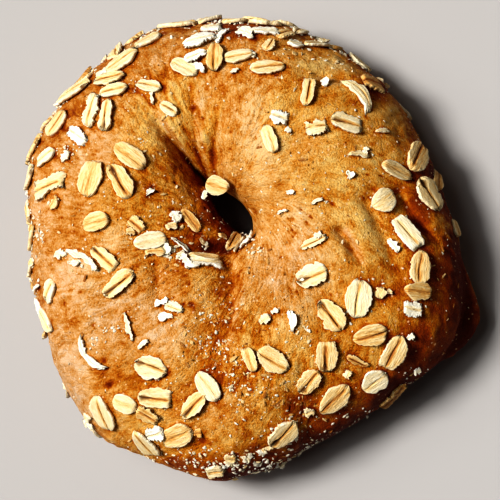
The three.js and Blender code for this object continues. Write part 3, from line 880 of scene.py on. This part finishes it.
def placeOat(spot, out, long, length, width, kind, tone, draw, piled=0, bends=True):
    wide = np.cross(out, long)
    points, faces, marks = oatShape(kind, length, width, draw)
    bend = crustBend(spot, out, long, wide, 0.5 * length, 0.5 * width) if bends else np.zeros(6)
    x, y, z = points.T
    fall = bend @ np.stack([np.ones_like(x), x, y, x * x, x * y, y * y])
    # the edge that lifts off the crust is the one turned away from the light
    lean = draw.uniform(*oats["tilt"]) * np.sign(wide @ shadowSide)
    z = z + oats["conform"] * np.clip(fall, -oats["mostBend"], oats["mostBend"])
    z = z + oats["lift"] + piled + lean * y / (0.5 * width)
    placed = spot + x[:, None] * long + y[:, None] * wide + z[:, None] * out
    marks["tone"] = np.full(len(x), tone)
    marks["lot"] = np.full(len(x), draw.uniform(0, 1))
    lot = np.full(len(x), draw.uniform(0, oats["grainLots"]))
    return placed, faces, marks, np.stack([x * oats["grainScale"], y, lot], axis=-1)


def joinPieces(name, parts, smoothShaded=True):
    points = np.concatenate([part[0] for part in parts])
    faces = []
    start = 0
    for placed, partFaces, *_ in parts:
        faces += [tuple(corner + start for corner in face) for face in partFaces]
        start += len(placed)
    values = {label: np.concatenate([part[2][label] for part in parts]) for label in parts[0][2]}
    vectors = {"grain": np.concatenate([part[3] for part in parts])}
    return meshPiece(name, points, faces, values, vectors, smoothShaded)


def perchedOatPart(draw):
    look = perchedOat
    rim, out = seatFromFrame(*look["rim"])
    pixel = view["frameWidth"] / framePixels
    across, down = look["reach"]
    spot = rim + pixel * (across * cameraRight - down * cameraAbove)
    out = unit(cameraBack + look["lean"] * out)
    long = turnedAxis(out, look["turn"])
    size = look["long"] * pixel, look["wide"] * pixel
    return placeOat(spot, out, long, *size, look["kind"], look["tone"], draw, bends=False)


def seenOatParts(draw, parts):
    places = []
    leastLong, leastWide = oats["leastShown"]
    for x, y, longPixels, widePixels, turn, kind, tone in seenOats:
        seat = seatFromFrame(x, y)
        if seat is None:
            continue
        spot, out = seat
        long = turnedAxis(out, turn)
        wide = np.cross(out, long)
        pixel = np.linalg.norm(spot - cameraPlace) * viewSpread / framePixels
        length = longPixels * pixel / max(shownShare(long), leastLong)
        width = min(widePixels * pixel / max(shownShare(wide), leastWide), oats["widest"] * length)
        crowd = 0
        for other, size in places:
            crowd += np.linalg.norm(spot - other) < oats["pileNear"] * (length + size)
        piled = oats["pileStep"] * min(crowd, oats["pileMost"]) if length > oats["pileLength"] else 0
        part = placeOat(spot, out, long, length, width, kind, tone, draw, piled)
        parts[oatPieceOf[kind]].append(part)
        places.append((spot, length))
    return [place for place, length in places]


# the sides that the camera doesn't see carry oats and crumbs too, spread by a rule: clear of the
# hole, the rope's end and the underside, and thickest towards -X and +Y and in the middle of -Y
hiddenSides = {
    "reach": 56, "fromHole": 30, "leastUp": -0.35,
    "farSide": np.array([-0.6, 0.8, 0]), "farFrom": (0.1, 0.5), "seenLimits": (-0.32, 0.30),
    "ropeEnd": (54, -19), "ropeEndReach": 13, "ropeEndTop": 16,
    "bareSide": np.array([0.8, -0.45, 0]), "bareFrom": (0.4, -0.6), "leastFull": 0.25,
    "nearMiddle": 2, "nearSpread": 25, "nearFull": 0.9,
}


def hiddenSpots(draw, count, spacing, taken, lowest):
    look = hiddenSides
    x, y, height = crustPoints.T
    away = unit(cameraPlace - crustPoints)
    seen = (crustNormals * away).sum(axis=1)
    onFarSide = smooth(*look["farFrom"], crustPoints @ look["farSide"] / look["reach"])
    seenLimit = mix(*look["seenLimits"], onFarSide)
    fromHole = np.hypot(x - hole["middle"][0], y - hole["middle"][1])
    fromEnd = np.hypot(x - look["ropeEnd"][0], y - look["ropeEnd"][1])
    likely = (seen < seenLimit) & (height > lowest) & (fromHole > look["fromHole"])
    likely &= crustNormals[:, 2] > look["leastUp"]
    likely &= (fromEnd > look["ropeEndReach"]) | (height > look["ropeEndTop"])
    chosen = []
    for index in draw.permutation(np.flatnonzero(likely)):
        spot = crustPoints[index]
        if softNormal(spot) @ away[index] > seenLimit[index]:
            continue
        onBareSide = spot @ look["bareSide"] / look["reach"]
        fullness = mix(look["leastFull"], 1, smooth(*look["bareFrom"], onBareSide))
        if spot[1] < 0:
            offMiddle = (spot[0] - look["nearMiddle"]) / look["nearSpread"]
            fullness = max(fullness, look["nearFull"] * math.exp(-offMiddle ** 2))
        if draw.uniform() > fullness:
            continue
        if all(np.linalg.norm(spot - other) > spacing for other in taken + chosen):
            chosen.append(spot)
        if len(chosen) == count:
            break
    return chosen


def hiddenOatPart(draw, spot):
    look = hiddenOats
    out = softNormal(spot)
    turn = draw.uniform(0, math.pi)
    side = unit(np.cross(out, [0, 0, 1]))
    long = side * math.cos(turn) + np.cross(side, out) * math.sin(turn)
    kind = draw.choice(list(look["kinds"]), p=list(look["kinds"].values()))
    isShard = kind == "shard"
    length = draw.uniform(*look["shardLength" if isShard else "length"])
    width = length * draw.uniform(*look["widthShare"])
    if isShard:
        tone = draw.uniform(*look["shardTone"])
    else:
        tone = np.clip(draw.normal(*look["tone"]), *look["toneLimits"])
    return kind, placeOat(spot, out, long, length, width, kind, tone, draw)


def buildOats():
    draw = np.random.default_rng(oats["seed"])
    parts = {name: [] for name in oatPieceOf.values()}
    taken = seenOatParts(draw, parts)
    parts["splitOats"].append(perchedOatPart(draw))
    look = hiddenOats
    for spot in hiddenSpots(draw, look["count"], look["spacing"], taken, look["lowest"]):
        kind, part = hiddenOatPart(draw, spot)
        parts[oatPieceOf[kind]].append(part)
    return {name: joinPieces(name, pieceParts) for name, pieceParts in parts.items()}


oatPieces = buildOats()
for name, piece in oatPieces.items():
    print(name + ":", len(piece.data.polygons), "faces")


# painted shadow: the dough is darker in the gap along each oat's edge, most on the side the oat
# shades
def shadeCrustRoundOats():
    edges = []
    for piece in oatPieces.values():
        spots = np.zeros(3 * len(piece.data.vertices), np.float32)
        rims = np.zeros(len(piece.data.vertices), np.float32)
        piece.data.vertices.foreach_get("co", spots)
        piece.data.attributes["rim"].data.foreach_get("value", rims)
        edges.append(spots.reshape(-1, 3)[rims > crust["oatShadeRim"]] / millimetre)
    edges = np.concatenate(edges) + crust["oatShadeShift"] * shadowSide
    tree = KDTree(len(edges))
    for index, edge in enumerate(edges):
        tree.insert(edge, index)
    tree.balance()
    toastAndShade = np.zeros(len(crustPoints), np.float32)
    layer = crustPiece.data.attributes["toastAndShade"].data
    layer.foreach_get("value", toastAndShade)
    away = np.array([tree.find(spot)[2] for spot in crustPoints])
    toastAndShade += crust["oatShade"] * np.exp(-(away / crust["oatShadeReach"]) ** 2)
    layer.foreach_set("value", toastAndShade)


shadeCrustRoundOats()
print("dough darkened round the oats")


crumbs = {
    "seed": 67,
    # for each kind: stretch, flatness, and the range of its tone
    "flourCrumbs": (1.5, 0.6, (0.82, 1.0)),
    "oatCrumbs": (1.8, 0.5, (0.45, 0.95)),
    "branShreds": (3.2, 0.4, (0.0, 0.4)),
    "stretchSpread": (0.5, 1.4), "uneven": (-0.42, 0.3), "flatSpread": (0.8, 1.3), "tilt": 0.35,
    "lift": 0.3, "finerSize": 1.1, "grainLots": 50,
    "areaSpread": 0.75,
    "hiddenCounts": {"flourCrumbs": 260, "oatCrumbs": 110, "branShreds": 60},
    "hiddenSpacing": 0.8, "hiddenLowest": 3, "hiddenSize": (0.3, 1.1),
}
# soft areas in the camera's frame: x, y, half width, half height, count, least and most size in
# millimetres, and which crumbs
crumbAreas = [
    (208, 336, 18, 27, 70, 0.25, 0.8, "flourCrumbs"), (208, 336, 24, 34, 40, 0.3, 0.8, "branShreds"),
    (236, 368, 12, 36, 34, 0.25, 0.7, "flourCrumbs"), (236, 375, 16, 40, 26, 0.4, 1.0, "oatCrumbs"),
    (272, 395, 32, 22, 46, 0.4, 1.0, "branShreds"), (272, 398, 32, 24, 40, 0.3, 0.8, "flourCrumbs"),
    (190, 459, 26, 9, 56, 0.3, 1.0, "flourCrumbs"), (228, 466, 30, 9, 60, 0.3, 1.1, "flourCrumbs"),
    (228, 462, 34, 10, 30, 0.6, 1.6, "oatCrumbs"), (270, 464, 32, 9, 64, 0.3, 1.1, "flourCrumbs"),
    (275, 458, 34, 12, 26, 0.6, 1.5, "oatCrumbs"), (318, 448, 24, 10, 40, 0.3, 1.0, "flourCrumbs"),
    (285, 425, 32, 14, 26, 0.3, 0.8, "flourCrumbs"), (300, 410, 30, 16, 24, 0.3, 0.8, "branShreds"),
    (172, 250, 24, 9, 36, 0.3, 1.0, "flourCrumbs"), (172, 248, 24, 11, 18, 0.5, 1.3, "oatCrumbs"),
    (200, 214, 18, 20, 26, 0.25, 0.6, "flourCrumbs"), (252, 244, 9, 10, 22, 0.3, 1.0, "flourCrumbs"),
    (295, 335, 14, 14, 18, 0.4, 0.9, "oatCrumbs"), (137, 86, 10, 12, 16, 0.25, 0.6, "flourCrumbs"),
    (215, 34, 45, 9, 30, 0.3, 0.9, "flourCrumbs"), (36, 222, 8, 26, 30, 0.3, 0.9, "flourCrumbs"),
    (67, 152, 8, 6, 12, 0.4, 1.0, "flourCrumbs"), (76, 262, 8, 4, 10, 0.4, 0.9, "flourCrumbs"),
    (112, 328, 9, 4, 14, 0.3, 0.9, "flourCrumbs"), (97, 340, 6, 7, 9, 0.3, 0.8, "flourCrumbs"),
    (141, 144, 5, 5, 6, 0.3, 0.9, "flourCrumbs"), (41, 236, 6, 6, 12, 0.3, 1.0, "flourCrumbs"),
    (300, 52, 45, 6, 26, 0.4, 1.1, "oatCrumbs"), (350, 62, 20, 10, 16, 0.4, 1.1, "oatCrumbs"),
    (400, 380, 22, 14, 16, 0.3, 0.9, "flourCrumbs"), (345, 415, 26, 12, 22, 0.3, 0.9, "flourCrumbs"),
    (385, 300, 30, 26, 12, 0.3, 0.7, "flourCrumbs"),
    (270, 195, 40, 30, 16, 0.25, 0.6, "flourCrumbs"),
    (150, 400, 50, 30, 26, 0.25, 0.7, "flourCrumbs"),
    (100, 250, 50, 60, 34, 0.25, 0.7, "flourCrumbs"),
    (240, 250, 190, 190, 330, 0.2, 0.55, "flourCrumbs"),
    (240, 250, 190, 190, 160, 0.3, 0.8, "branShreds"),
    (240, 250, 190, 190, 160, 0.3, 0.7, "oatCrumbs"), (320, 230, 70, 60, 24, 0.3, 0.8, "oatCrumbs"),
    (120, 150, 60, 60, 26, 0.3, 0.8, "oatCrumbs"), (370, 165, 50, 50, 26, 0.25, 0.7, "flourCrumbs"),
    (440, 300, 14, 50, 14, 0.3, 0.7, "branShreds"),
]


def ballShape(steps):
    shape = bmesh.new()
    bmesh.ops.create_icosphere(shape, subdivisions=steps, radius=0.5)
    points = np.array([vertex.co[:] for vertex in shape.verts])
    faces = [tuple(vertex.index for vertex in face.verts) for face in shape.faces]
    shape.free()
    return points, faces


coarseBall = ballShape(1)
finerBall = ballShape(2)


def crumbPart(kind, spot, out, size, draw):
    stretch, flatness, tones = crumbs[kind]
    points, faces = finerBall if size > crumbs["finerSize"] else coarseBall
    stretch = mix(1, stretch, draw.uniform(*crumbs["stretchSpread"]))
    uneven = points * (1 + draw.uniform(*crumbs["uneven"], (len(points), 1)))
    height = size * flatness * draw.uniform(*crumbs["flatSpread"])
    tilted = unit(out + crumbs["tilt"] * draw.normal(size=3))
    side = unit(np.cross(tilted, draw.normal(size=3)))
    axes = np.array([side, np.cross(tilted, side), tilted])
    placed = spot + uneven * np.array([size * stretch, size, height]) @ axes
    placed = placed + out * size * flatness * crumbs["lift"]
    count = len(placed)
    marks = {"tone": np.full(count, draw.uniform(*tones)), "lot": np.full(count, draw.uniform(0, 1))}
    return placed, faces, marks, placed + draw.uniform(0, crumbs["grainLots"])


def buildCrumbs():
    draw = np.random.default_rng(crumbs["seed"])
    parts = {kind: [] for kind in crumbs["hiddenCounts"]}
    for x, y, halfWidth, halfHeight, count, least, most, kind in crumbAreas:
        for crumb in range(count):
            placeX = x + crumbs["areaSpread"] * halfWidth * draw.normal()
            placeY = y + crumbs["areaSpread"] * halfHeight * draw.normal()
            seat = seatFromFrame(placeX, placeY)
            size = mix(least, most, draw.uniform() ** 2)
            if seat is not None:
                parts[kind].append(crumbPart(kind, *seat, size, draw))
    for kind, count in crumbs["hiddenCounts"].items():
        for spot in hiddenSpots(draw, count, crumbs["hiddenSpacing"], [], crumbs["hiddenLowest"]):
            size = draw.uniform(*crumbs["hiddenSize"])
            parts[kind].append(crumbPart(kind, spot, softNormal(spot), size, draw))
    return {kind: joinPieces(kind, kindParts, False) for kind, kindParts in parts.items()}


crumbPieces = buildCrumbs()
print("crumbs placed:", sum(len(piece.data.vertices) for piece in crumbPieces.values()), "points")


def plug(tree, value, socket):
    if isinstance(value, bpy.types.NodeSocket):
        tree.links.new(value, socket)
    else:
        socket.default_value = value


def nodeOf(tree, kind, **inputs):
    return plugAll(tree, tree.nodes.new(kind), inputs)


def plugAll(tree, node, inputs):
    for name, value in inputs.items():
        plug(tree, value, node.inputs[name.replace("_", " ")])
    return node


def calc(tree, operation, *values):
    node = tree.nodes.new("ShaderNodeMath")
    node.operation = operation
    for socket, value in zip(node.inputs, values):
        plug(tree, value, socket)
    return node.outputs[0]


def readMark(tree, name, output="Fac"):
    node = tree.nodes.new("ShaderNodeAttribute")
    node.attribute_name = name
    return node.outputs[output]


def ramp(tree, value, stops):
    node = tree.nodes.new("ShaderNodeValToRGB")
    plug(tree, value, node.inputs[0])
    elements = node.color_ramp.elements
    while len(elements) < len(stops):
        elements.new(0.5)
    for element, (place, color) in zip(elements, stops):
        element.position = place
        element.color = (*color, 1)
    return node.outputs[0]


# the Mix node's sockets 6 and 7 and its output 2 are the ones that hold colours
def blendColors(tree, share, first, second, way="MIX"):
    node = tree.nodes.new("ShaderNodeMix")
    node.data_type = "RGBA"
    node.blend_type = way
    for socket, value in ((0, share), (6, first), (7, second)):
        plug(tree, value, node.inputs[socket])
    return node.outputs[2]


# inputs are names with a value, or None for a vector; outputs are names of numbers
def newGroup(name, inputs, outputs):
    tree = bpy.data.node_groups.new(name, "ShaderNodeTree")
    for label, value in inputs.items():
        kind = "NodeSocketVector" if value is None else "NodeSocketFloat"
        socket = tree.interface.new_socket(label, in_out="INPUT", socket_type=kind)
        if value is not None:
            socket.default_value = value
    for label in outputs:
        tree.interface.new_socket(label, in_out="OUTPUT", socket_type="NodeSocketFloat")
    return tree, tree.nodes.new("NodeGroupInput").outputs, tree.nodes.new("NodeGroupOutput").inputs


def useGroup(tree, group, **inputs):
    node = tree.nodes.new("ShaderNodeGroup")
    node.node_tree = group
    return plugAll(tree, node, inputs).outputs


mottleDetail = {"Detail": 4.0, "Roughness": 0.65}
# for each layer: where it is drawn, its scale, and its shares of the tone and of the height
mottleLayers = [
    ("Place", "Patch Scale", 0.75, 0.4), ("Place", "Grain Scale", 0.7, 0.7),
    ("Flow", "Streak Scale", 0.6, 0.35),
]
fleckSteepness = 3.0
fleckEdge = {"From_Min": -0.05, "From_Max": 0.15}


# uneven tone: soft patches, finer grain and streaks drawn out along Flow, about 0 and scaled by
# Strength, with a height to match
def buildMottleGroup():
    tree, give, take = newGroup("bakedMottle", {
        "Place": None, "Flow": None, "Patch Scale": 200, "Grain Scale": 900, "Streak Scale": 3,
        "Strength": 0.4,
    }, ["Tone", "Height"])
    tone = 0.0
    height = 0.0
    for place, scale, toneShare, heightShare in mottleLayers:
        inputs = {"Vector": give[place], "Scale": give[scale], **mottleDetail}
        noise = nodeOf(tree, "ShaderNodeTexNoise", **inputs).outputs[0]
        tone = calc(tree, "MULTIPLY_ADD", calc(tree, "SUBTRACT", noise, 0.5), toneShare, tone)
        height = calc(tree, "MULTIPLY_ADD", noise, heightShare, height)
    plug(tree, calc(tree, "MULTIPLY", tone, give["Strength"]), take["Tone"])
    plug(tree, height, take["Height"])
    return tree


# small separate flecks: Cover is how much of the surface they take
def buildFleckGroup():
    tree, give, take = newGroup("flecks", {"Place": None, "Scale": 500, "Cover": 0.1}, ["Mask"])
    cells = nodeOf(tree, "ShaderNodeTexVoronoi", Vector=give["Place"], Scale=give["Scale"])
    size = nodeOf(tree, "ShaderNodeSeparateColor", Color=cells.outputs["Color"])
    least = calc(tree, "SUBTRACT", 1.0, give["Cover"])
    reach = calc(tree, "SUBTRACT", size.outputs[0], least)
    reach = calc(tree, "MULTIPLY", reach, fleckSteepness)
    inside = calc(tree, "SUBTRACT", reach, cells.outputs["Distance"])
    soft = nodeOf(tree, "ShaderNodeMapRange", Value=inside, **fleckEdge)
    plug(tree, soft.outputs[0], take["Mask"])
    return tree


def newMaterial(name):
    material = bpy.data.materials.new(name)
    material.use_nodes = True
    tree = material.node_tree
    return material, tree, tree.nodes["Principled BSDF"].inputs


mottleGroup = buildMottleGroup()
fleckGroup = buildFleckGroup()

crustFinish = {
    "tones": [
        (0.0, (0.75, 0.515, 0.32)), (0.2, (0.68, 0.388, 0.175)), (0.4, (0.58, 0.262, 0.055)),
        (0.58, (0.46, 0.143, 0.006)), (0.78, (0.285, 0.051, 0.002)), (1.0, (0.13, 0.015, 0.001)),
    ],
    "goldenShadeTint": (1.07, 0.99, 0.5, 1),
    "mottle": {"Patch_Scale": 420.0, "Grain_Scale": 2100.0, "Streak_Scale": 1.6, "Strength": 1.28},
    # for each kind of fleck: its scale and cover, its color and how strong it is
    "pores": ({"Scale": 900.0, "Cover": 0.1}, (0.16, 0.036, 0.004, 1), 0.55),
    # pale flecks: partly flour, partly painted glints on the crust's grain
    "flourAndGlints": ({"Scale": 1300.0, "Cover": 0.16}, (0.94, 0.62, 0.34, 1), 0.65),
    "poreDepth": 0.4,
    "roughness": (0.42, 0.62), "bump": {"Strength": 1.0, "Distance": 0.001}, "gloss": 0.07,
}
oatFinish = {
    "tones": [
        (0.0, (0.36, 0.12, 0.018)), (0.22, (0.66, 0.34, 0.08)), (0.42, (0.84, 0.60, 0.27)),
        (0.65, (0.89, 0.74, 0.46)), (0.85, (0.92, 0.84, 0.62)), (1.0, (0.93, 0.89, 0.76)),
    ],
    "lotSpread": 0.12, "valleyShadeTone": -0.5, "rimTone": 0.18, "crackShadeColor": (0.07, 0.02, 0.003, 1),
    "patchScale": 0.7, "crumbPatchScale": 1.0,
    "mottle": {"Grain_Scale": 4.0, "Streak_Scale": 2.2, "Strength": 0.95},
    "roughness": (0.45, 0.65), "bump": {"Strength": 1.0, "Distance": 0.0006}, "gloss": 0.2,
}


# the color, roughness, gloss and fine bumps of a material
def finishSurface(tree, surface, color, mottle, height, finish):
    plug(tree, color, surface["Base Color"])
    least, most = finish["roughness"]
    roughness = nodeOf(tree, "ShaderNodeMapRange", Value=mottle["Height"], To_Min=least, To_Max=most)
    plug(tree, roughness.outputs[0], surface["Roughness"])
    bump = nodeOf(tree, "ShaderNodeBump", Height=height, **finish["bump"])
    plug(tree, bump.outputs[0], surface["Normal"])
    surface["Specular IOR Level"].default_value = finish["gloss"]


def buildCrustMaterial():
    material, tree, surface = newMaterial("bakedCrust")
    finish = crustFinish
    place = tree.nodes.new("ShaderNodeTexCoord").outputs["Object"]
    flow = readMark(tree, "flow", "Vector")
    mottle = useGroup(tree, mottleGroup, Place=place, Flow=flow, **finish["mottle"])
    patchy = readMark(tree, "patchy")
    tone = calc(tree, "MULTIPLY_ADD", mottle["Tone"], patchy, readMark(tree, "toastAndShade"))
    color = ramp(tree, tone, finish["tones"])
    # painted shade: the warm golden tint
    color = blendColors(tree, readMark(tree, "goldenShade"), color, finish["goldenShadeTint"], "MULTIPLY")
    masks = {}
    for name in ("pores", "flourAndGlints"):
        spread, fleckColor, strength = finish[name]
        masks[name] = useGroup(tree, fleckGroup, Place=place, **spread)["Mask"]
        color = blendColors(tree, calc(tree, "MULTIPLY", masks[name], strength), color, fleckColor)
    dip = calc(tree, "MULTIPLY", masks["pores"], finish["poreDepth"])
    finishSurface(tree, surface, color, mottle, calc(tree, "SUBTRACT", mottle["Height"], dip), finish)
    return material


def buildOatMaterial(name, patchScale, hasGroove):
    material, tree, surface = newMaterial(name)
    finish = oatFinish
    grain = readMark(tree, "grain", "Vector")
    places = {"Place": grain, "Flow": grain, "Patch_Scale": patchScale}
    mottle = useGroup(tree, mottleGroup, **places, **finish["mottle"])
    lot = calc(tree, "SUBTRACT", readMark(tree, "lot"), 0.5)
    tone = calc(tree, "ADD", readMark(tree, "tone"), mottle["Tone"])
    tone = calc(tree, "MULTIPLY_ADD", lot, finish["lotSpread"], tone)
    if hasGroove:
        # painted shade: darker in the groove, partly the oat's own tan middle, and near black in the
        # crack
        tone = calc(tree, "MULTIPLY_ADD", readMark(tree, "valley"), finish["valleyShadeTone"], tone)
        tone = calc(tree, "MULTIPLY_ADD", readMark(tree, "rim"), finish["rimTone"], tone)
    color = ramp(tree, tone, finish["tones"])
    if hasGroove:
        color = blendColors(tree, readMark(tree, "crack"), color, finish["crackShadeColor"])
    finishSurface(tree, surface, color, mottle, mottle["Height"], finish)
    return material


crustPiece.data.materials.append(buildCrustMaterial())
oatMaterial = buildOatMaterial("rolledOat", oatFinish["patchScale"], True)
crumbMaterial = buildOatMaterial("crumb", oatFinish["crumbPatchScale"], False)
for pieces, material in ((oatPieces, oatMaterial), (crumbPieces, crumbMaterial)):
    for piece in pieces.values():
        piece.data.materials.append(material)
print("materials made")


studio = {
    "floorSize": 1.6, "floorColor": (0.385, 0.365, 0.347), "floorRoughness": 0.75,
    "lightHeight": 60, "lightFrom": 169,  # degrees
    "suns": [("keySun", 17, 3.2), ("broadSun", 44, 0.95)],  # name, size in degrees, power
    "fill": 0.05,
    "contrast": "High Contrast",
}


def buildStudio():
    half = 0.5 * studio["floorSize"]
    mesh = bpy.data.meshes.new("floor")
    corners = [(-half, -half, 0), (half, -half, 0), (half, half, 0), (-half, half, 0)]
    mesh.from_pydata(corners, [], [(0, 1, 2, 3)])
    floor = newObject("floor", mesh)
    material, _, surface = newMaterial("paperFloor")
    surface["Base Color"].default_value = (*studio["floorColor"], 1)
    surface["Roughness"].default_value = studio["floorRoughness"]
    mesh.materials.append(material)

    toLight = directionAt(studio["lightFrom"], studio["lightHeight"])
    for name, size, power in studio["suns"]:
        data = bpy.data.lights.new(name, "SUN")
        data.energy = power
        data.angle = math.radians(size)
        newObject(name, data).rotation_euler = toLight.to_track_quat("Z", "Y").to_euler()

    world = bpy.data.worlds.new("studio")
    world.use_nodes = True
    background = world.node_tree.nodes["Background"].inputs
    background["Color"].default_value = (1, 1, 1, 1)
    background["Strength"].default_value = studio["fill"]
    scene = bpy.context.scene
    scene.world = world
    scene.view_settings.view_transform = "Standard"
    scene.view_settings.look = studio["contrast"]


buildStudio()
print("stage set")

for piece in (crustPiece, *oatPieces.values(), *crumbPieces.values()):
    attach(piece, "root")
    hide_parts("bagel")
